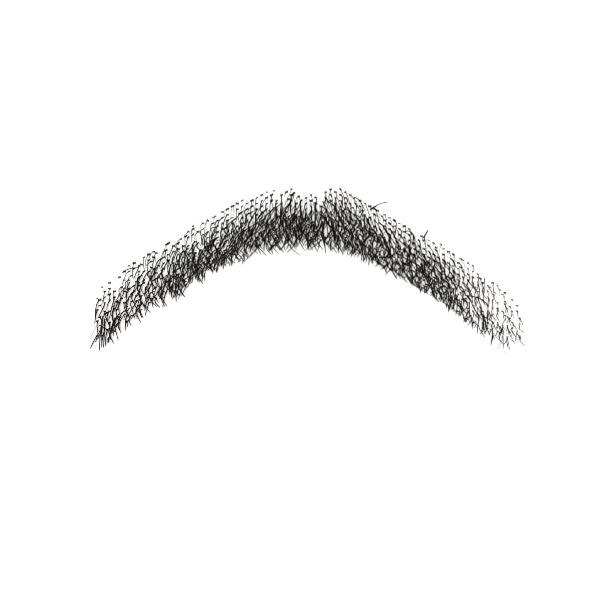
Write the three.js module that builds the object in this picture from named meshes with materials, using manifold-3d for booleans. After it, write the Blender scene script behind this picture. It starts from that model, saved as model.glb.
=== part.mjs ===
// A false moustache: hair knotted in rows onto an arched strip of net, lying flat with the net underneath.
// Millimetres, +Z up and +Y towards the nose. The origin is on the net's underside, at the middle of the lip.
import * as THREE from "three";
import { mergeVertices } from "three/addons/utils/BufferGeometryUtils.js";
import Module from "manifold-3d";

const wasm = await Module();
wasm.setup();

// Net: a sheet with six-sided holes, cut to an arched strip
const NET_REACH = 49.4; // from the middle to either end
const NET_THICKNESS = 1;
const NET_MARGIN = 0.8; // bare net above the first row of knots and beyond the ends of the rows
const NET_EDGE = 0.9; // unpierced edge
const OUTLINE_STEP = 4; // between the points of the curved outline
const HOLE_PITCH = 3.4; // between the middles of neighbouring holes
const BAR_WIDTH = 0.9; // net left between two holes
const SMALLEST_HOLE = 0.35; // share of a whole hole that one cut short by the edge still has

// Hair: rows of tapered locks, each row lying on the rows below it like thatch
const ROWS = 6;
const HAIR_OVERHANG = 1.5; // from the net's lower edge to the lowest tips
const LAST_ROW_INSET = 0.5; // from the last row of knots to the net's lower edge
const SEAT_GAP = 0.3; // between the net and the knots on it
const PARTING = 0.8; // between the left and the right rows, in the middle
const LOCK_PITCH = 2.8; // along a row
const LOCK_LENGTH = 4.4;
const LAST_LOCK_LENGTH = 2.6; // in the last row, which makes the lower edge
const LOCK_STEPS = 2; // bends along a lock
const LENGTH_SCATTER = 0.16; // share of a lock's length
const LEAN_SCATTER = 7; // degrees
const NOTCH = 0.52; // how far down a lock is joined to its neighbours, as a share of its length
const LOCK_THICKNESS = 0.36;
const NOTCH_THICKNESS = 0.2;
const LAYER_STEP = 0.72; // a lock climbs this much over each row that it crosses
const DROOP = 0.1; // slope of the tips that hang past the last row

// Sections across the moustache. top: the first row of knots. bottom: the lowest hair tips.
// lean: the way that the hair points, in degrees from straight down, towards +X.
const SECTIONS = [
  { x: -49.4, top: -17.4, bottom: -28.4, lean: -13 },
  { x: -43, top: -11.6, bottom: -26.2, lean: -15 },
  { x: -36, top: -6.7, bottom: -20.4, lean: -17 },
  { x: -27, top: -1.4, bottom: -14.9, lean: -18 },
  { x: -17, top: 3.7, bottom: -9.6, lean: -17 },
  { x: -9, top: 6.7, bottom: -6.5, lean: -13 },
  { x: -4, top: 7.4, bottom: -5.9, lean: -7 },
  { x: 1, top: 5.9, bottom: -5.8, lean: 2 },
  { x: 7, top: 7.6, bottom: -6.8, lean: 11 },
  { x: 14, top: 4.1, bottom: -9.9, lean: 18 },
  { x: 24, top: -1.4, bottom: -15.2, lean: 22 },
  { x: 34, top: -7.1, bottom: -21.8, lean: 20 },
  { x: 42, top: -12.8, bottom: -27.4, lean: 15 },
  { x: 49.4, top: -19.6, bottom: -29, lean: 11 },
];

const MATERIALS = {
  net: new THREE.MeshStandardMaterial({ color: 0xf1eee6, roughness: 0.7, metalness: 0 }),
  hair: new THREE.MeshStandardMaterial({ color: 0x12100e, roughness: 0.5, metalness: 0 }),
};

// Smooth curve through one column of the sections.
function sectionCurve(column) {
  const across = SECTIONS.map((section) => section.x);
  const values = SECTIONS.map((section) => section[column]);
  const curve = new THREE.CubicInterpolant(across, values, 1);
  return (x) => curve.evaluate(x)[0];
}

const hairTop = sectionCurve("top");
const hairBottom = sectionCurve("bottom");
const hairLean = sectionCurve("lean");
const netTop = (x) => hairTop(x) + NET_MARGIN;
const netBottom = (x) => hairBottom(x) + HAIR_OVERHANG;
const lastRoot = (x) => netBottom(x) + LAST_ROW_INSET;
const rowPitch = (x) => (hairTop(x) - lastRoot(x)) / (ROWS - 1);
const rootLine = (row, x) => hairTop(x) - row * rowPitch(x);

// Repeatable scatter from -1 to 1.
function scatter(seed) {
  const wave = Math.sin(seed * 12.9898) * 43758.5453;
  return 2 * (wave - Math.floor(wave)) - 1;
}

// Closed mesh as a solid that can be cut.
function solidOf(geometry) {
  geometry.deleteAttribute("normal");
  geometry.deleteAttribute("uv");
  const merged = mergeVertices(geometry);
  return new wasm.Manifold(
    new wasm.Mesh({
      numProp: 3,
      vertProperties: merged.attributes.position.array,
      triVerts: new Uint32Array(merged.index.array),
    }),
  );
}

function geometryOf(solid) {
  const { vertProperties, triVerts } = solid.getMesh();
  const geometry = new THREE.BufferGeometry();
  geometry.setAttribute("position", new THREE.BufferAttribute(vertProperties, 3));
  geometry.setIndex(new THREE.BufferAttribute(triVerts, 1));
  return geometry;
}

function namedMesh(name, geometry, material) {
  geometry.computeVertexNormals();
  const mesh = new THREE.Mesh(geometry, material);
  mesh.name = name;
  return mesh;
}

// The net's strip drawn in by a margin all round, as a solid between two heights.
function strip(margin, low, high) {
  const reach = NET_REACH - margin;
  const count = Math.round((2 * reach) / OUTLINE_STEP);
  const across = Array.from({ length: count + 1 }, (_, i) => THREE.MathUtils.lerp(-reach, reach, i / count));
  const lower = across.map((x) => new THREE.Vector2(x, netBottom(x) + margin));
  const upper = across.map((x) => new THREE.Vector2(x, netTop(x) - margin));
  const outline = new THREE.Shape([...lower, ...upper.reverse()]);
  const geometry = new THREE.ExtrudeGeometry(outline, { depth: high - low, bevelEnabled: false });
  geometry.translate(0, 0, low);
  return solidOf(geometry);
}

// Six-sided cutter through the net, with a flat side towards the nose.
function holeCutter(x, y) {
  const corner = (HOLE_PITCH - BAR_WIDTH) / Math.sqrt(3);
  const geometry = new THREE.CylinderGeometry(corner, corner, 3 * NET_THICKNESS, 6);
  geometry.rotateX(Math.PI / 2);
  geometry.rotateZ(Math.PI / 6);
  geometry.translate(x, y, NET_THICKNESS / 2);
  return solidOf(geometry);
}

function netBase() {
  const pierced = strip(NET_EDGE, -NET_THICKNESS / 2, 1.5 * NET_THICKNESS);
  const smallest = SMALLEST_HOLE * holeCutter(0, 0).intersect(pierced).volume();
  const firstColumn = HOLE_PITCH / Math.sqrt(3); // puts a joint of three bars on the origin
  const columnPitch = (HOLE_PITCH * Math.sqrt(3)) / 2;
  const columns = Math.ceil(NET_REACH / columnPitch);
  let sheet = strip(0, 0, NET_THICKNESS);
  for (let column = -columns; column <= columns; column++) {
    const x = firstColumn + column * columnPitch;
    const shift = column % 2 ? 0.5 : 0;
    const lowest = Math.floor(netBottom(x) / HOLE_PITCH);
    const highest = Math.ceil(netTop(x) / HOLE_PITCH);
    for (let step = lowest; step <= highest; step++) {
      const hole = holeCutter(x, (step + shift) * HOLE_PITCH).intersect(pierced);
      if (hole.volume() > smallest) sheet = sheet.subtract(hole);
    }
  }
  return geometryOf(sheet);
}

// Height that a lock of this row has climbed at a place in plan.
function climb(row, x, y) {
  const crossed = (rootLine(row, x) - y) / rowPitch(x);
  const below = ROWS - 1 - row;
  const past = Math.max(0, lastRoot(x) - y);
  return LAYER_STEP * THREE.MathUtils.clamp(crossed, 0, below) - DROOP * past;
}

// One row of locks on one side of the parting: a thin sheet whose lower edge runs from tip to notch to tip.
function hairRow(row, side) {
  const inner = (side * PARTING) / 2;
  const outer = side * (NET_REACH - NET_MARGIN);
  const from = Math.min(inner, outer);
  const to = Math.max(inner, outer);
  const columns = 2 * Math.round((to - from) / LOCK_PITCH);
  const usual = row === ROWS - 1 ? LAST_LOCK_LENGTH : LOCK_LENGTH;
  const geometry = new THREE.BoxGeometry(1, 1, 1, columns, LOCK_STEPS, 1);
  const place = geometry.attributes.position;
  for (let i = 0; i < place.count; i++) {
    const column = Math.round((place.getX(i) + 0.5) * columns);
    const along = 0.5 - place.getY(i);
    const isTop = place.getZ(i) > 0;
    const isLock = column % 2 === 1;
    const seed = 100 * row + column + from;
    const reach = (isLock ? 1 : NOTCH) * usual * (1 + LENGTH_SCATTER * scatter(seed));
    const rootX = THREE.MathUtils.lerp(from, to, column / columns);
    const stray = isLock ? LEAN_SCATTER * scatter(seed + 0.5) : 0;
    const lean = THREE.MathUtils.degToRad(hairLean(rootX) + stray);
    const x = rootX + reach * along * Math.sin(lean);
    const y = rootLine(row, rootX) - reach * along * Math.cos(lean);
    const thickness = isLock ? LOCK_THICKNESS : NOTCH_THICKNESS;
    const seat = NET_THICKNESS + SEAT_GAP + climb(row, x, y);
    place.setXYZ(i, x, y, isTop ? seat + thickness : seat);
  }
  return geometry;
}

const moustache = new THREE.Group();
moustache.name = "false_moustache";
moustache.add(namedMesh("net_base", netBase(), MATERIALS.net));
for (let row = 0; row < ROWS; row++) {
  moustache.add(namedMesh(`hair_row_${row + 1}_left`, hairRow(row, -1), MATERIALS.hair));
  moustache.add(namedMesh(`hair_row_${row + 1}_right`, hairRow(row, 1), MATERIALS.hair));
}

export default moustache;
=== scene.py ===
"""A false moustache of dark hair knotted onto fine net, lying flat and seen from straight above."""
import math

import bpy
import numpy as np
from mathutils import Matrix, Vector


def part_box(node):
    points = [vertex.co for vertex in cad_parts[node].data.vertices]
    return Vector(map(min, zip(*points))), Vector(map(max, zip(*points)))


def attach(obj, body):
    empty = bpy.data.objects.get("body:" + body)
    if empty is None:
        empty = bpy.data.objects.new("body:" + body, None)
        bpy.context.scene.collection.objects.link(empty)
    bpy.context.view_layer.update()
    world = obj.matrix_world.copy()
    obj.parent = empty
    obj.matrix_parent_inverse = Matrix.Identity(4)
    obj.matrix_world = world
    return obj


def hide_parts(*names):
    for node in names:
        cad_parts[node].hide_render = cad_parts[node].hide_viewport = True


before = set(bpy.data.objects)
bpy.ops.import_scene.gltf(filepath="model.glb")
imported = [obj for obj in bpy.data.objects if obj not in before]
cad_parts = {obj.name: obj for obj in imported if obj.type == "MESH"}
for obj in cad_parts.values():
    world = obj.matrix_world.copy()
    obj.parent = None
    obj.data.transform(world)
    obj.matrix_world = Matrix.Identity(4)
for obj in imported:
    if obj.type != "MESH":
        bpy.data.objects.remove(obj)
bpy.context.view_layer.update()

MM = 0.001
SEED = 49
chance = np.random.default_rng(SEED)

# Net: fine six-sided mesh of nylon thread, lifted off the floor by the knots around its threads
HOLE_SIDES = 6
CELL = 0.65 * MM  # between the middles of neighbouring holes
COLUMN = CELL * math.sqrt(3) / 2  # between neighbouring columns of holes
WELD = CELL / 20  # joins the corners of neighbouring holes
THREAD = 0.12 * MM
THREAD_RISE = 2  # rounds the flat threads
SMOOTH_BELOW = math.radians(50)
NET_MARGIN = 0.8 * MM  # bare net above the first row of knots
LEFT_MARGIN = 1.2 * MM  # bare net beyond the ends of the rows
RIGHT_MARGIN = 0.2 * MM
LAST_ROW_INSET = 0.5 * MM  # from the last row of knots to the net's lower edge

# Knots: two loops of hair around a thread, in every second hole each way and every hole of the lower rows
ABOVE_FIRST = 0.2 * MM  # the highest knots, over the first row
BELOW_LAST = 0.45 * MM  # the lowest knots, under the last row
CLOSE_FROM = 0.5  # depth at which the lower rows begin
CLOSE_TO = 37 * MM  # place across at which they end
CLOSE_SHARE = 0.25  # strands to one of their knots, as a share of those to an upper knot
# Place across in mm, with the share of the knots that lie in the next hole, or that are missing
KNOT_STRAY = ((35, 0.2), (44, 0.6))
KNOT_MISSED = ((35, 0.02), (44, 0.15))
KNOT_SIZES = (1.2, 1.05, 0.9)  # in the first, a middle and the last row
KNOT_SHRINK = ((33, 1), (44, 0.75))  # place across in mm, share of that size
KNOT_SPREAD = (0.75, 1.25)  # smallest and largest share of that size
BARE_KNOT = 0.85  # size of a knot without hair, as a share of the others'
LOOP_RADIUS = 0.12 * MM
LOOP_THICKNESS = 0.12 * MM
LOOP_SHIFT = 0.15 * MM
LOOP_TILT = math.radians(14)
LOOP_SIDES = 8
LOOP_EDGES = 4  # sides of the hair in a loop
KNOT_TURN = math.radians(18)
KNOT_SLANT = math.radians(16)  # outer end down
KNOT_HEIGHT = LOOP_RADIUS + LOOP_THICKNESS

# Hair: thin strands that leave a knot sideways, bend over, lie on the rows below and splay at their tips
HAIR_SIDES = 5
LINE_STEPS = 40  # along a hair's whole length, before it is trimmed
HAIR_CUTS = (0.04, 0.09, 0.15, 0.23, 0.34, 0.48, 0.64, 0.82)  # shares of a hair's length
SAME_RING = 0.001  # share of a hair's length
HAIR_TAPER = ((0, 1), (0.15, 1.05), (0.5, 1), (0.8, 0.92), (1, 0.7))  # share of length, share of thickness
HAIR_RADIUS = 0.082 * MM
UNEVEN = 0.12  # spread of the thickness
UNEVEN_FIRST = 0.25  # more of it in the first row
ROOT_SPREAD = 0.05 * MM
LENGTH_SPREAD = 0.22  # share of a hair's length
SHORTEST_HAIR = 0.9 * MM
TIP_REACH = (  # place across and trimmed tips below the last row of knots, in mm
    (-49, 2.2), (-43, 2.4), (-36, 2.1), (-30, 3.4), (-22, 1.5), (-13, 2.7), (-6, 2.3),
    (2, 2.3), (10, 1.6), (20, 1.2), (29, 0.8), (36, 1.1), (42, 2.2), (49, 3.8),
)
TIP_SCATTER = 0.35  # share of that reach
HOOK_LENGTH = 0.85 * MM  # in which a hair turns from sideways to its lean
HOOK_UNEVEN = 0.35  # spread of that length
HOOK_SPREAD = 20  # degrees, as the next three
LEAN_SPREAD = 5
TURN_SPREAD = 6
WAVE_TURN = 4
WAVE_LENGTH = 4.5 * MM
WAVE_GROWTH = 3  # the wave is whole after a third of the length
TIP_BEND = 1.4  # above 1 a hair bends more towards its tip
SPLAY_POWER = 0.8  # below 1 more hairs splay far
NEIGHBOURS = 5  # hairs in turn that share the splay out evenly
GOLDEN = (math.sqrt(5) - 1) / 2  # share of a turn that spreads what comes in turn evenly

# Layers: the same climb over the rows below as in the solids
ROWS = 6
ROOT_HEIGHT = 1.3 * MM
LAYER_STEP = 0.72 * MM
DROOP = 0.1
RISE_LENGTH = 1.7 * MM  # in which a hair climbs from its knot
LIFT = (-0.3, 0.45)  # lowest and highest hair in a layer, in mm
ROOT_TOLERANCE = 0.002 * MM

# How the hair falls across the moustache, at the first, a middle and the last row.
# hairs: strands to a knot of the upper rows, or to four of the lower ones.
# bare: share of the knots without hair that are kept.
# thick: the strands' thickness, as a share of the usual. long: their length in mm.
# splay: how far they part, in degrees.
# hook, lean and tip: headings at the root, past the bend and at the end, in degrees from straight down.
MIDDLE = 0.35  # depth of the middle row
FALL = (
    {"x": -49, "hairs": (0.4, 0.85, 1), "bare": (0.6, 0.5, 0.2),
     "thick": (0.62, 1.22, 1.17), "long": (2.8, 3.4, 3.6), "splay": (14, 20, 26),
     "hook": (0, 0, 0), "lean": (0, 2, 0), "tip": (2, 2, 0)},
    {"x": -43, "hairs": (0.35, 0.85, 1), "bare": (0.6, 0.4, 0),
     "thick": (0.54, 1.25, 1.2), "long": (3, 3.6, 3.6), "splay": (14, 28, 36),
     "hook": (-36, -30, -10), "lean": (-6, -6, 0), "tip": (-4, 0, 0)},
    {"x": -36, "hairs": (0.35, 1.1, 1.5), "bare": (0.6, 0.4, 0),
     "thick": (0.48, 1.25, 1.2), "long": (3.4, 3.9, 3.8), "splay": (16, 32, 45),
     "hook": (-44, -46, -15), "lean": (-8, 2, 4), "tip": (-4, 6, 4)},
    {"x": -27, "hairs": (0.4, 1.5, 2.4), "bare": (0.7, 0.4, 0),
     "thick": (0.46, 1.22, 1.15), "long": (3.6, 4.1, 3.9), "splay": (16, 35, 51),
     "hook": (-44, -50, -15), "lean": (-6, 12, 8), "tip": (-2, 10, 8)},
    {"x": -17, "hairs": (0.4, 1.55, 2.1), "bare": (0.7, 0.4, 0),
     "thick": (0.44, 1.15, 1.1), "long": (3.6, 4.1, 3.9), "splay": (16, 37, 52),
     "hook": (-44, -50, -15), "lean": (-6, 6, 4), "tip": (-2, 6, 4)},
    {"x": -8, "hairs": (0.5, 1.9, 2.35), "bare": (0.7, 0.4, 0),
     "thick": (0.48, 1.15, 1.1), "long": (3.6, 4.1, 3.9), "splay": (20, 39, 52),
     "hook": (-34, -35, -10), "lean": (-8, -6, 0), "tip": (-6, 0, 0)},
    {"x": -3, "hairs": (0.75, 2.5, 2.2), "bare": (0.8, 0.4, 0),
     "thick": (0.63, 1.15, 1.1), "long": (3.6, 4.1, 3.9), "splay": (22, 43, 52),
     "hook": (-15, -15, 0), "lean": (-10, -8, -2), "tip": (-6, -2, 0)},
    {"x": 2, "hairs": (0.9, 2.25, 2.55), "bare": (1, 0.4, 0),
     "thick": (0.68, 1.15, 1.1), "long": (3.6, 4.1, 3.9), "splay": (24, 46, 52),
     "hook": (8, 8, 0), "lean": (0, 0, 0), "tip": (0, 0, 0)},
    {"x": 10, "hairs": (1, 2.25, 2.1), "bare": (1, 0.4, 0),
     "thick": (0.55, 1.08, 1.03), "long": (3.6, 4.1, 3.9), "splay": (22, 50, 52),
     "hook": (24, 34, 10), "lean": (2, -2, -4), "tip": (2, -2, 0)},
    {"x": 20, "hairs": (0.95, 1.7, 2.05), "bare": (1, 0.4, 0),
     "thick": (0.45, 1.1, 1.08), "long": (3.6, 4.1, 3.9), "splay": (22, 50, 52),
     "hook": (28, 40, 15), "lean": (4, -4, -6), "tip": (2, -4, 0)},
    {"x": 29, "hairs": (0.5, 2.15, 2.1), "bare": (1, 0.5, 0),
     "thick": (0.42, 1.1, 1.08), "long": (3.4, 3.9, 3.6), "splay": (22, 50, 52),
     "hook": (30, 42, 15), "lean": (4, -6, -6), "tip": (2, -4, 0)},
    {"x": 36, "hairs": (0.5, 1.55, 1.8), "bare": (1, 0.8, 0.3),
     "thick": (0.42, 1, 1), "long": (2.2, 2.6, 3), "splay": (22, 46, 50),
     "hook": (24, 15, 0), "lean": (2, -4, -4), "tip": (2, 0, 0)},
    {"x": 42, "hairs": (0.6, 1.35, 1.8), "bare": (1, 1, 0.8),
     "thick": (0.48, 0.85, 0.95), "long": (1.2, 1.5, 2.4), "splay": (24, 45, 46),
     "hook": (10, 0, 0), "lean": (0, 0, 0), "tip": (2, 2, 0)},
    {"x": 49, "hairs": (0.55, 1.25, 1.8), "bare": (1, 1, 0.8),
     "thick": (0.42, 0.7, 0.75), "long": (0.9, 1.2, 2), "splay": (24, 45, 46),
     "hook": (0, 0, 0), "lean": (0, 0, 0), "tip": (0, 0, 0)},
)

# Single hairs that leave the rest: root and length in mm, headings at the root and the tip in degrees,
# and thickness as a share of their usual radius
STRAY_RADIUS = 0.1 * MM
STRAY_LIFT = 0.2 * MM
STRAYS = (
    # On the upper edge, right
    {"root": (14.7, 2.75), "from": 128, "to": 114, "long": 1.7, "thick": 1.7},
    {"root": (14.7, 2.75), "from": 128, "to": 92, "long": 4.6, "thick": 0.8},
    {"root": (27.1, -3.4), "from": 153, "to": 150, "long": 1.7, "thick": 1.3},
    # Outside the left end, and a bowed one on the upper edge, left
    {"root": (-47.9, -23.6), "from": -24, "to": -24, "long": 4.4, "thick": 0.3},
    {"root": (-38.6, -10.5), "from": -88, "to": -48, "long": 3.8, "thick": 0.9},
    # Bundles at the left end
    {"root": (-46.6, -21.6), "from": -6, "to": -2, "long": 7.8, "thick": 1.3},
    {"root": (-46.2, -22.2), "from": 4, "to": -8, "long": 6.6, "thick": 1.2},
    {"root": (-46.9, -22.6), "from": 6, "to": -4, "long": 6, "thick": 1.1},
    {"root": (-43.4, -21.6), "from": -20, "to": -12, "long": 6.4, "thick": 1.3},
    {"root": (-43.9, -22), "from": -14, "to": -16, "long": 5.8, "thick": 1.2},
    {"root": (-43, -21.2), "from": -24, "to": -14, "long": 6, "thick": 1.2},
    # Burst near the right end
    {"root": (36.5, -16.9), "from": 88, "to": 30, "long": 6.2, "thick": 1.2},
    {"root": (37.5, -18.4), "from": -12, "to": 62, "long": 6, "thick": 1.1},
    {"root": (37.6, -21.5), "from": -40, "to": -50, "long": 1.9, "thick": 1},
    {"root": (40.6, -21.2), "from": 0, "to": -12, "long": 3.4, "thick": 1},
    {"root": (40.8, -21.4), "from": 10, "to": -6, "long": 4.3, "thick": 0.95},
    {"root": (40.6, -21.6), "from": 62, "to": 50, "long": 3, "thick": 1},
    {"root": (42, -20.6), "from": 10, "to": 20, "long": 1.8, "thick": 1.1},
    {"root": (34.6, -17.4), "from": 0, "to": -14, "long": 4, "thick": 1},
    {"root": (33.6, -17), "from": -14, "to": -22, "long": 3.8, "thick": 1.1},
    {"root": (40.6, -21.6), "from": -146, "to": -140, "long": 1.7, "thick": 1},
    # Across the parting
    {"root": (4.6, 0.9), "from": 4, "to": 14, "long": 4.2, "thick": 0.9},
    {"root": (6, 0.6), "from": -8, "to": -14, "long": 4, "thick": 0.9},
    # Short ones at the right end
    {"root": (39.3, -13.7), "from": 14, "to": -4, "long": 3.4, "thick": 0.85},
    {"root": (40.9, -12.9), "from": 0, "to": -4, "long": 3.5, "thick": 0.75},
    {"root": (42.8, -14.6), "from": 6, "to": -6, "long": 3.4, "thick": 0.6},
    {"root": (45.8, -19.2), "from": 14, "to": 4, "long": 2.3, "thick": 0.65},
    {"root": (46.1, -21.6), "from": 32, "to": 42, "long": 3.1, "thick": 0.5},
    {"root": (48.8, -21.9), "from": 34, "to": -2, "long": 2.4, "thick": 0.65},
    {"root": (49.2, -24.8), "from": 50, "to": 52, "long": 1, "thick": 0.6},
    {"root": (47.1, -27), "from": 46, "to": 50, "long": 1.1, "thick": 0.7},
    {"root": (46.1, -26.3), "from": 6, "to": 18, "long": 3.4, "thick": 0.6},
    {"root": (45.1, -25.9), "from": -2, "to": -4, "long": 2.1, "thick": 0.6},
    {"root": (42.2, -24.7), "from": 38, "to": 42, "long": 4.2, "thick": 0.35},
    {"root": (44.8, -24.7), "from": -16, "to": -24, "long": 1.4, "thick": 0.75},
    {"root": (44, -23.7), "from": 44, "to": 38, "long": 1.5, "thick": 0.7},
    {"root": (45.7, -22.1), "from": -30, "to": -40, "long": 1.7, "thick": 0.6},
    {"root": (45, -26.1), "from": -8, "to": -48, "long": 3.5, "thick": 0.4},
    {"root": (45.2, -26.2), "from": -4, "to": 14, "long": 3.9, "thick": 0.4},
)

# Looks: near-black hair, browner at the tips, and sheer pale thread
NOISE_RANGE = (0.3, 0.7)  # where most of the noise lies
GRAIN_HEIGHT = 0.01 * MM
HAIR_SHADES = ((0.003, 0.003, 0.0035), (0.012, 0.009, 0.0075))
TIP_SHADE = (0.03, 0.02, 0.014, 1)
TIP_FROM = 0.35  # share of a hair's length at which the tip's shade begins
TIP_MOST = 0.35  # share of the tip's shade at the end
HAIR_ROUGHNESS = (0.38, 0.6)
HAIR_SHINE = 0.12
HAIR_GRAIN = {"scale": 9000, "detail": 2, "strength": 0.3}  # scale: noise cells to a metre
NET_SHADES = ((0.95, 0.93, 0.87), (0.88, 0.85, 0.78))
NET_CLOUD = {"scale": 260, "detail": 3}
NET_ROUGHNESS = (0.35, 0.55)
NET_GRAIN = {"scale": 12000, "detail": 1, "strength": 0.25}
NET_OPACITY = 0.14

# Stage and camera: the picture's middle and width, in the part's frame
VIEW_CENTRE = (-1.38 * MM, -17.9 * MM)
VIEW_WIDTH = 137.6 * MM
CAMERA_HEIGHT = 0.6
SENSOR = 36  # mm
CLIP = (0.01, 100)
FILM_BLUR = 0.8  # pixels
FLOOR_SIZE = 30
FLOOR_COLOUR = (0.93, 0.93, 0.93, 1)
FLOOR_ROUGHNESS = 0.9
HORIZON = 1  # brightness of the sky
ZENITH = 0.3
SKY_FADE = (0.06, 0.35)  # heights between which the sky darkens
SUN_STRENGTH = 2.95
SUN_WIDTH = math.radians(20)
SUN_TURN = (math.radians(-3), math.radians(-2), 0)


def deselect_all():
    bpy.ops.object.select_all(action="DESELECT")


def apply_modifiers(piece):
    for modifier in list(piece.modifiers):
        bpy.ops.object.modifier_apply(modifier=modifier.name)


def corners(mesh):
    """A mesh's vertices as an array."""
    found = np.empty(3 * len(mesh.vertices))
    mesh.vertices.foreach_get("co", found)
    return found.reshape(-1, 3)


def at_place(x, table):
    """A value between the rows of a table by place across in mm."""
    return np.interp(x / MM, *zip(*table))


def knot_line(row):
    """The line that a row's locks grow from, as x and y: its corners at the height of the roots."""
    locks = [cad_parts[f"hair_row_{row}_{side}"] for side in ("left", "right")]
    points = np.concatenate([corners(node.data) for node in locks])
    points = points[np.abs(points[:, 2] - ROOT_HEIGHT) < ROOT_TOLERANCE]
    points = points[np.argsort(points[:, 0])]
    return points[:, 0], points[:, 1]


first_row = knot_line(1)
last_row = knot_line(ROWS)


def first_line(x):
    """Where the first row of knots runs, as y."""
    return np.interp(x, *first_row)


def last_line(x):
    """Where the last row of knots runs, as y."""
    return np.interp(x, *last_row)


def depth(x, y):
    """How far down the net a place is: 0 on the first row of knots, 1 on the last."""
    return (first_line(x) - y) / (first_line(x) - last_line(x))


def fall(column, x, share):
    """A column of the fall table at a place, between its first, middle and last row."""
    across = np.array([row["x"] for row in FALL]) * MM
    first, middle, last = (np.interp(x, across, [row[column][k] for row in FALL]) for k in range(3))
    upper = np.clip(share / MIDDLE, 0, 1)
    lower = np.clip((share - MIDDLE) / (1 - MIDDLE), 0, 1)
    return first + (middle - first) * upper + (last - middle) * lower


def cell_sheet(low, high):
    """Sheet of six-sided cells that reaches past a box in plan."""
    columns = math.ceil((high.x - low.x) / (2 * COLUMN)) + 1
    rows = math.ceil((high.y - low.y) / CELL) + 2
    first_x = -math.ceil(-low.x / (2 * COLUMN)) * 2 * COLUMN
    first_y = -math.ceil(-low.y / CELL) * CELL
    deselect_all()
    bpy.ops.mesh.primitive_circle_add(
        vertices=HOLE_SIDES, radius=CELL / math.sqrt(3), fill_type="NGON",
        location=(first_x, first_y, KNOT_HEIGHT), rotation=(0, 0, math.pi / HOLE_SIDES))
    sheet = bpy.context.object
    bpy.ops.object.transform_apply()
    steps = (
        (2, (COLUMN, CELL / 2, 0)),
        (rows, (0, CELL, 0)),
        (columns, (2 * COLUMN, 0, 0)),
    )
    for count, step in steps:
        copies = sheet.modifiers.new("cells", "ARRAY")
        copies.count = count
        copies.use_relative_offset = False
        copies.use_constant_offset = True
        copies.constant_offset_displace = step
    apply_modifiers(sheet)
    bpy.ops.object.mode_set(mode="EDIT")
    bpy.ops.mesh.select_all(action="SELECT")
    bpy.ops.mesh.remove_doubles(threshold=WELD)
    bpy.ops.object.mode_set(mode="OBJECT")
    return sheet


def cut_to_strip(sheet, reach):
    """Take away the cells outside the arched strip."""
    bpy.ops.object.mode_set(mode="EDIT")
    bpy.ops.mesh.select_mode(type="FACE")
    bpy.ops.mesh.select_all(action="DESELECT")
    bpy.ops.object.mode_set(mode="OBJECT")
    for face in sheet.data.polygons:
        x, y, _ = face.center
        inside = abs(x) < reach and last_line(x) - LAST_ROW_INSET < y < first_line(x) + NET_MARGIN
        face.select = not inside
    bpy.ops.object.mode_set(mode="EDIT")
    bpy.ops.mesh.delete(type="FACE")
    bpy.ops.object.mode_set(mode="OBJECT")


def turn_to_threads(sheet):
    """Leave rounded threads along the edges of the cells."""
    threads = sheet.modifiers.new("threads", "WIREFRAME")
    threads.thickness = THREAD
    threads.use_even_offset = True
    threads.use_boundary = True
    apply_modifiers(sheet)
    bpy.ops.object.mode_set(mode="EDIT")
    bpy.ops.mesh.select_all(action="SELECT")
    bpy.ops.transform.resize(value=(1, 1, THREAD_RISE), center_override=(0, 0, KNOT_HEIGHT))
    bpy.ops.object.mode_set(mode="OBJECT")
    bpy.ops.object.shade_smooth_by_angle(angle=SMOOTH_BELOW)


def make_net(material):
    """Fine net, cut to the arched strip."""
    low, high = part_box("net_base")
    net = cell_sheet(low, high)
    net.name = "lace_net"
    cut_to_strip(net, high.x - CELL / 2)
    turn_to_threads(net)
    net.data.materials.append(material)
    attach(net, "root")
    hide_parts("net_base")


def hair_shape():
    """One straight hair of unit length and thickness, modelled once: a rod in rings, tapered to its tip."""
    deselect_all()
    bpy.ops.mesh.primitive_cylinder_add(vertices=HAIR_SIDES, radius=1, depth=1, location=(0, 0, 0.5))
    hair = bpy.context.object
    bpy.ops.object.transform_apply()
    bpy.ops.object.mode_set(mode="EDIT")
    for cut in HAIR_CUTS:
        bpy.ops.mesh.select_all(action="SELECT")
        bpy.ops.mesh.bisect(plane_co=(0, 0, cut), plane_no=(0, 0, 1))
    bpy.ops.mesh.select_mode(type="VERT")
    for ring in (*HAIR_CUTS, 1):
        bpy.ops.mesh.select_all(action="DESELECT")
        bpy.ops.object.mode_set(mode="OBJECT")
        for vertex in hair.data.vertices:
            vertex.select = abs(vertex.co.z - ring) < SAME_RING
        bpy.ops.object.mode_set(mode="EDIT")
        width = np.interp(ring, *zip(*HAIR_TAPER))
        bpy.ops.transform.resize(value=(width, width, 1), center_override=(0, 0, ring))
    bpy.ops.object.mode_set(mode="OBJECT")
    return hair


def knot_shape():
    """One knot, modelled once: two tilted loops side by side around a thread that runs along X."""
    deselect_all()
    for side in (-1, 1):
        bpy.ops.mesh.primitive_torus_add(
            major_segments=LOOP_SIDES, minor_segments=LOOP_EDGES,
            major_radius=LOOP_RADIUS, minor_radius=LOOP_THICKNESS,
            location=(side * LOOP_SHIFT, 0, KNOT_HEIGHT),
            rotation=(0, math.pi / 2 + side * LOOP_TILT, 0))
        if side < 0:
            knot = bpy.context.object
    knot.select_set(True)
    bpy.context.view_layer.objects.active = knot
    bpy.ops.object.join()
    bpy.ops.object.transform_apply()
    return knot


def joined_copies(shape, places):
    """Corners and faces of many copies of a modelled shape, each with its own corners."""
    count, size = places.shape[:2]
    faces = [tuple(face.vertices) for face in shape.data.polygons]
    made = [tuple(size * copy + corner for corner in face) for copy in range(count) for face in faces]
    return places.reshape(-1, 3), made


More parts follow.
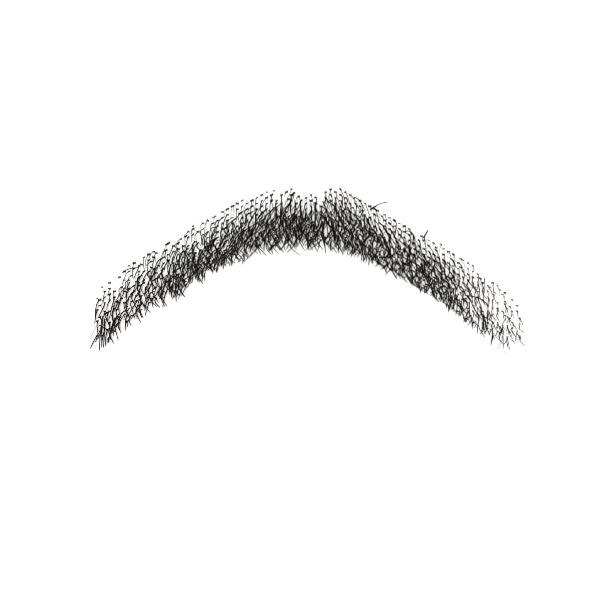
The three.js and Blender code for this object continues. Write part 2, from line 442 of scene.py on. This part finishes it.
def all_knots():
    """Places of the knots on the upper threads of the holes, and the share of the strands that each has."""
    low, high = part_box("net_base")
    places = []
    for column in range(math.ceil(low.x / COLUMN), math.floor(high.x / COLUMN) + 1):
        shift = 0.5 if column % 2 else 0
        for step in range(math.floor(low.y / CELL) - 1, math.ceil(high.y / CELL) + 1):
            x = column * COLUMN
            y = (step + shift) * CELL + CELL / 2
            is_close = depth(x, y) > CLOSE_FROM and x < CLOSE_TO
            is_second = column % 2 == 0 and (step - column // 2) % 2 == 0
            if not (is_close or is_second) or chance.random() < at_place(x, KNOT_MISSED):
                continue
            if chance.random() < at_place(x, KNOT_STRAY):
                turn = math.pi / HOLE_SIDES + chance.integers(HOLE_SIDES) * 2 * math.pi / HOLE_SIDES
                x += CELL * math.cos(turn)
                y += CELL * math.sin(turn)
            inside = last_line(x) - BELOW_LAST < y < first_line(x) + ABOVE_FIRST
            if inside and low.x + LEFT_MARGIN < x < high.x - RIGHT_MARGIN:
                places.append((x, y, CLOSE_SHARE if is_close else 1))
    return np.array(places)


def running_sum(steps):
    """Sums along rows, from 0."""
    return np.concatenate([np.zeros((len(steps), 1)), np.cumsum(steps, axis=1)], axis=1)


def tied_knots():
    """The knots that are kept, and how many hairs grow from each."""
    places = all_knots()
    knots = places[:, :2]
    share = depth(knots[:, 0], knots[:, 1])
    hairs = fall("hairs", knots[:, 0], share) * places[:, 2]
    counts = np.floor(hairs + GOLDEN * np.arange(len(knots)) % 1).astype(int)
    bare = chance.random(len(knots)) < fall("bare", knots[:, 0], share) * places[:, 2]
    kept = (counts > 0) | bare
    return knots[kept], counts[kept]


def grown_hairs(knots, counts):
    """Hairs that grow from the knots, as columns: each one's knot, root, headings, lengths and thickness."""
    share = depth(knots[:, 0], knots[:, 1])
    owner = np.repeat(np.arange(len(knots)), counts)
    total = len(owner)
    x = knots[owner, 0]
    share = share[owner]
    roots = knots[owner] + chance.normal(0, ROOT_SPREAD, (total, 2))
    groups = np.tile(np.arange(NEIGHBOURS), (math.ceil(total / NEIGHBOURS), 1))
    place = chance.permuted(groups, axis=1).ravel()[:total] + chance.random(total)
    turn = 2 * place / NEIGHBOURS - 1
    aside = fall("splay", x, share) * np.sign(turn) * np.abs(turn) ** SPLAY_POWER
    aside = aside + LEAN_SPREAD * chance.normal(0, 1, total)
    lean = fall("lean", x, share) + aside
    tip = fall("tip", x, share) + aside + TURN_SPREAD * chance.normal(0, 1, total)
    start = fall("hook", x, share) + HOOK_SPREAD * chance.normal(0, 1, total)
    reach = at_place(x, TIP_REACH) * MM
    uneven = UNEVEN + UNEVEN_FIRST * np.clip(1 - share / MIDDLE, 0, 1)
    return {
        "owner": owner,
        "root": roots,
        "start": start,
        "lean": lean,
        "tip": tip,
        "long": fall("long", x, share) * MM * (1 + chance.normal(0, LENGTH_SPREAD, total)),
        "reach": reach * (1 + TIP_SCATTER * chance.normal(0, 1, total)),
        "hook": HOOK_LENGTH * np.exp(chance.normal(0, HOOK_UNEVEN, total)),
        "wave": WAVE_TURN * chance.normal(0, 1, total),
        "lift": chance.uniform(*LIFT, total) * MM,
        "radius": HAIR_RADIUS * fall("thick", x, share) * np.exp(uneven * chance.normal(0, 1, total)),
    }


def stray_hairs(knots):
    """The single hairs, as the same columns."""
    roots = np.array([stray["root"] for stray in STRAYS]) * MM
    start = np.array([stray["from"] for stray in STRAYS], float)
    return {
        "owner": np.argmin(((roots[:, None] - knots[None]) ** 2).sum(2), axis=1),
        "root": roots,
        "start": start,
        "lean": start,
        "tip": np.array([stray["to"] for stray in STRAYS], float),
        "long": np.array([stray["long"] for stray in STRAYS]) * MM,
        "reach": np.full(len(STRAYS), np.inf),
        "hook": np.full(len(STRAYS), HOOK_LENGTH),
        "wave": np.zeros(len(STRAYS)),
        "lift": np.full(len(STRAYS), STRAY_LIFT),
        "radius": np.array([stray["thick"] for stray in STRAYS]) * STRAY_RADIUS,
    }


def headings(hairs, whole):
    """Which way hairs run at shares of their whole length, in degrees from straight down."""
    along = whole * hairs["long"]
    heading = hairs["lean"] + (hairs["tip"] - hairs["lean"]) * whole ** TIP_BEND
    heading = heading + (hairs["start"] - hairs["lean"]) * np.exp(-(along / hairs["hook"]) ** 2)
    phase = chance.uniform(0, 2 * math.pi, (len(along), 1))
    wave = np.sin(2 * math.pi * along / WAVE_LENGTH + phase) * np.minimum(1, WAVE_GROWTH * whole)
    return heading + hairs["wave"] * wave


def between_steps(line, place):
    """Values of lines at places along them, counted in steps."""
    before = np.minimum(place.astype(int), LINE_STEPS - 1)
    past = place - before
    return np.take_along_axis(line, before, 1) * (1 - past) + np.take_along_axis(line, before + 1, 1) * past


def heights(lift, roots, x, y, along):
    """How high hairs are: they rise from their knots, and lie on the rows below."""
    root_depth = depth(roots[:, 0], roots[:, 1])[:, None]
    crossed = np.clip(depth(x, y) - root_depth, 0, np.maximum(0, 1 - root_depth)) * (ROWS - 1)
    past = np.maximum(0, last_line(x) - y)
    rest = ROOT_HEIGHT + lift + LAYER_STEP * crossed - DROOP * past
    share = np.clip(along / RISE_LENGTH, 0, 1)
    return KNOT_HEIGHT + (rest - KNOT_HEIGHT) * share * (2 - share)


def hair_lines(hairs, rings):
    """Middle lines of hairs, trimmed at their reach below the last row, as points at the rings."""
    whole = np.linspace(0, 1, LINE_STEPS + 1)[None]
    single = [name for name in hairs if name not in ("owner", "root")]
    columns = {name: hairs[name][:, None] for name in single}
    roots = hairs["root"]
    along = whole * columns["long"]
    heading = np.radians(headings(columns, whole))
    heading = (heading[:, 1:] + heading[:, :-1]) / 2
    step = np.diff(along, axis=1)
    x = roots[:, :1] + running_sum(step * np.sin(heading))
    y = roots[:, 1:] - running_sum(step * np.cos(heading))
    kept = (last_line(x) - columns["reach"] < y).sum(axis=1) / (LINE_STEPS + 1)
    kept = np.maximum(kept, np.minimum(1, SHORTEST_HAIR / hairs["long"]))
    place = rings[None] * kept[:, None] * LINE_STEPS
    x, y, along = (between_steps(line, place) for line in (x, y, along))
    return np.stack([x, y, heights(columns["lift"], roots, x, y, along)], 2)


def bend_copies(shape, lines, radii, rings):
    """Copies of the straight hair, each bent along its own middle line."""
    straight = corners(shape.data)
    ring = np.argmin(np.abs(straight[:, 2:3] - rings[None]), axis=1)
    ahead = np.gradient(lines, axis=1)
    ahead /= np.linalg.norm(ahead, axis=2, keepdims=True)
    across = np.cross(ahead, (0, 0, 1))
    across /= np.linalg.norm(across, axis=2, keepdims=True)
    up = np.cross(across, ahead)
    width = radii[:, None, None]
    return lines[:, ring] + width * (straight[:, 0:1] * across[:, ring] + straight[:, 1:2] * up[:, ring])


def turned_copies(shape, places, sizes):
    """Copies of a shape at places in plan, each of its own size and turned a little about Z."""
    turn = chance.normal(-KNOT_SLANT * np.sign(places[:, :1]), KNOT_TURN)
    shaped = sizes[:, None, None] * shape[None]
    x = places[:, :1] + np.cos(turn) * shaped[:, :, 0] - np.sin(turn) * shaped[:, :, 1]
    y = places[:, 1:] + np.sin(turn) * shaped[:, :, 0] + np.cos(turn) * shaped[:, :, 1]
    return np.stack([x, y, shaped[:, :, 2]], 2)


def add_values(mesh, name, values):
    """Give each corner of a mesh a named value."""
    mesh.attributes.new(name, "FLOAT", "POINT").data.foreach_set("value", values.astype(np.float32))


def hair_piece(name, knot, hair, knot_copies, hair_copies):
    """One piece of placed knots and hairs, with a tone for each of them and the place along each hair."""
    knot_points, knot_faces = joined_copies(knot, knot_copies)
    hair_points, hair_faces = joined_copies(hair, hair_copies)
    shift = len(knot_points)
    points = np.concatenate([knot_points, hair_points])
    faces = knot_faces + [tuple(shift + corner for corner in face) for face in hair_faces]
    mesh = bpy.data.meshes.new(name)
    mesh.from_pydata(points.tolist(), [], faces)
    mesh.shade_smooth()
    of_knots = np.repeat(chance.random(len(knot_copies)), knot_copies.shape[1])
    of_hairs = np.repeat(chance.random(len(hair_copies)), hair_copies.shape[1])
    along = np.tile(corners(hair.data)[:, 2], len(hair_copies))
    add_values(mesh, "tone", np.concatenate([of_knots, of_hairs]))
    add_values(mesh, "along", np.concatenate([0 * of_knots, along]))
    piece = bpy.data.objects.new(name, mesh)
    bpy.context.collection.objects.link(piece)
    return piece


def make_hair(material):
    """A piece for each row of locks in the solids: its knots and the hairs that grow from them."""
    knot = knot_shape()
    hair = hair_shape()
    rings = np.array((0, *HAIR_CUTS, 1))
    knots, counts = tied_knots()
    grown = grown_hairs(knots, counts)
    strays = stray_hairs(knots)
    hairs = {name: np.concatenate([grown[name], strays[name]]) for name in grown}
    owner = hairs["owner"]
    bent = bend_copies(hair, hair_lines(hairs, rings), hairs["radius"], rings)
    share = depth(knots[:, 0], knots[:, 1])
    row_of_knot = np.clip(np.round(share * (ROWS - 1)), 0, ROWS - 1).astype(int)
    is_left = knots[:, 0] < 0
    knot_sizes = np.interp(share, (0, MIDDLE, 1), KNOT_SIZES) * chance.uniform(*KNOT_SPREAD, len(knots))
    knot_sizes *= at_place(knots[:, 0], KNOT_SHRINK)
    knot_sizes[counts == 0] *= BARE_KNOT
    for row in range(ROWS):
        for word, on_side in (("left", is_left), ("right", ~is_left)):
            mine = (row_of_knot == row) & on_side
            knot_copies = turned_copies(corners(knot.data), knots[mine], knot_sizes[mine])
            piece = hair_piece(f"{word}_hairs_{row + 1}", knot, hair, knot_copies, bent[mine[owner]])
            piece.data.materials.append(material)
            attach(piece, "root")
            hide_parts(f"hair_row_{row + 1}_{word}")
    for shape in (knot, hair):
        bpy.data.objects.remove(shape)


def new_material(name):
    """A material with its nodes, links and shader."""
    material = bpy.data.materials.new(name)
    material.use_nodes = True
    nodes = material.node_tree.nodes
    return material, nodes, material.node_tree.links, nodes["Principled BSDF"]


def noise(nodes, scale, detail):
    """Even noise through the whole part."""
    place = nodes.new("ShaderNodeTexCoord")
    texture = nodes.new("ShaderNodeTexNoise")
    texture.inputs["Scale"].default_value = scale
    texture.inputs["Detail"].default_value = detail
    texture.id_data.links.new(place.outputs["Object"], texture.inputs["Vector"])
    return texture.outputs["Fac"]


def ramp(nodes, links, source, stops):
    """Colours or greys between stops along a value."""
    made = nodes.new("ShaderNodeValToRGB")
    for element, (place, colour) in zip(made.color_ramp.elements, stops):
        element.position = place
        element.color = (*colour, 1)
    links.new(source, made.inputs["Fac"])
    return made.outputs["Color"]


def greys(places, values):
    """Stops of a ramp between grey values."""
    return [(place, (value,) * 3) for place, value in zip(places, values)]


def roughen(nodes, links, shader, source, strength, height):
    """Fine relief from a value."""
    bump = nodes.new("ShaderNodeBump")
    bump.inputs["Strength"].default_value = strength
    bump.inputs["Distance"].default_value = height
    links.new(source, bump.inputs["Height"])
    links.new(bump.outputs["Normal"], shader.inputs["Normal"])


def attribute(nodes, name):
    """A value that a mesh holds at its corners."""
    made = nodes.new("ShaderNodeAttribute")
    made.attribute_name = name
    return made.outputs["Fac"]


def hair_material():
    """Near-black hair: each hair has its own shade, browner towards the tip, with a scaly surface."""
    material, nodes, links, shader = new_material("dark_hair")
    shade = ramp(nodes, links, attribute(nodes, "tone"), zip((0, 1), HAIR_SHADES))
    tip = ramp(nodes, links, attribute(nodes, "along"), greys((TIP_FROM, 1), (0, TIP_MOST)))
    mix = nodes.new("ShaderNodeMix")
    mix.data_type = "RGBA"
    mix.inputs["B"].default_value = TIP_SHADE
    links.new(tip, mix.inputs["Factor"])
    links.new(shade, mix.inputs["A"])
    links.new(mix.outputs["Result"], shader.inputs["Base Color"])
    scales = noise(nodes, HAIR_GRAIN["scale"], HAIR_GRAIN["detail"])
    roughness = ramp(nodes, links, scales, greys(NOISE_RANGE, HAIR_ROUGHNESS))
    links.new(roughness, shader.inputs["Roughness"])
    roughen(nodes, links, shader, scales, HAIR_GRAIN["strength"], GRAIN_HEIGHT)
    shader.inputs["Specular IOR Level"].default_value = HAIR_SHINE
    return material


def net_material():
    """Sheer nylon: pale thread with a faint warm cast and an uneven gloss."""
    material, nodes, links, shader = new_material("sheer_net")
    cloud = noise(nodes, NET_CLOUD["scale"], NET_CLOUD["detail"])
    colour = ramp(nodes, links, cloud, zip(NOISE_RANGE, NET_SHADES))
    links.new(colour, shader.inputs["Base Color"])
    twist = noise(nodes, NET_GRAIN["scale"], NET_GRAIN["detail"])
    roughness = ramp(nodes, links, twist, greys(NOISE_RANGE, NET_ROUGHNESS))
    links.new(roughness, shader.inputs["Roughness"])
    roughen(nodes, links, shader, twist, NET_GRAIN["strength"], GRAIN_HEIGHT)
    shader.inputs["Alpha"].default_value = NET_OPACITY
    return material


def make_floor():
    """Wide pale floor under the net."""
    deselect_all()
    bpy.ops.mesh.primitive_plane_add(size=FLOOR_SIZE)
    floor = bpy.context.object
    floor.name = "floor"
    material, _, _, shader = new_material("pale_floor")
    shader.inputs["Base Color"].default_value = FLOOR_COLOUR
    shader.inputs["Roughness"].default_value = FLOOR_ROUGHNESS
    shader.inputs["Specular IOR Level"].default_value = 0
    floor.data.materials.append(material)


def make_lights():
    """Pale sky, brightest near the horizon, and a soft sun from above."""
    world = bpy.data.worlds.new("studio")
    world.use_nodes = True
    nodes = world.node_tree.nodes
    links = world.node_tree.links
    place = nodes.new("ShaderNodeTexCoord")
    height = nodes.new("ShaderNodeSeparateXYZ")
    links.new(place.outputs["Generated"], height.inputs["Vector"])
    sky = ramp(nodes, links, height.outputs["Z"], greys(SKY_FADE, (HORIZON, ZENITH)))
    links.new(sky, nodes["Background"].inputs["Color"])
    bpy.context.scene.world = world
    sun = bpy.data.lights.new("window", "SUN")
    sun.energy = SUN_STRENGTH
    sun.angle = SUN_WIDTH
    window = bpy.data.objects.new("window", sun)
    window.rotation_euler = SUN_TURN
    bpy.context.collection.objects.link(window)


def make_camera():
    """Camera straight above the middle of the picture."""
    lens = bpy.data.cameras.new("camera")
    lens.sensor_width = SENSOR
    lens.lens = SENSOR * CAMERA_HEIGHT / VIEW_WIDTH
    lens.clip_start, lens.clip_end = CLIP
    camera = bpy.data.objects.new("camera", lens)
    camera.location = (*VIEW_CENTRE, CAMERA_HEIGHT)
    bpy.context.collection.objects.link(camera)
    bpy.context.scene.camera = camera
    bpy.context.scene.view_settings.view_transform = "Standard"
    bpy.context.scene.cycles.filter_width = FILM_BLUR


make_floor()
make_lights()
make_camera()
make_net(net_material())
make_hair(hair_material())
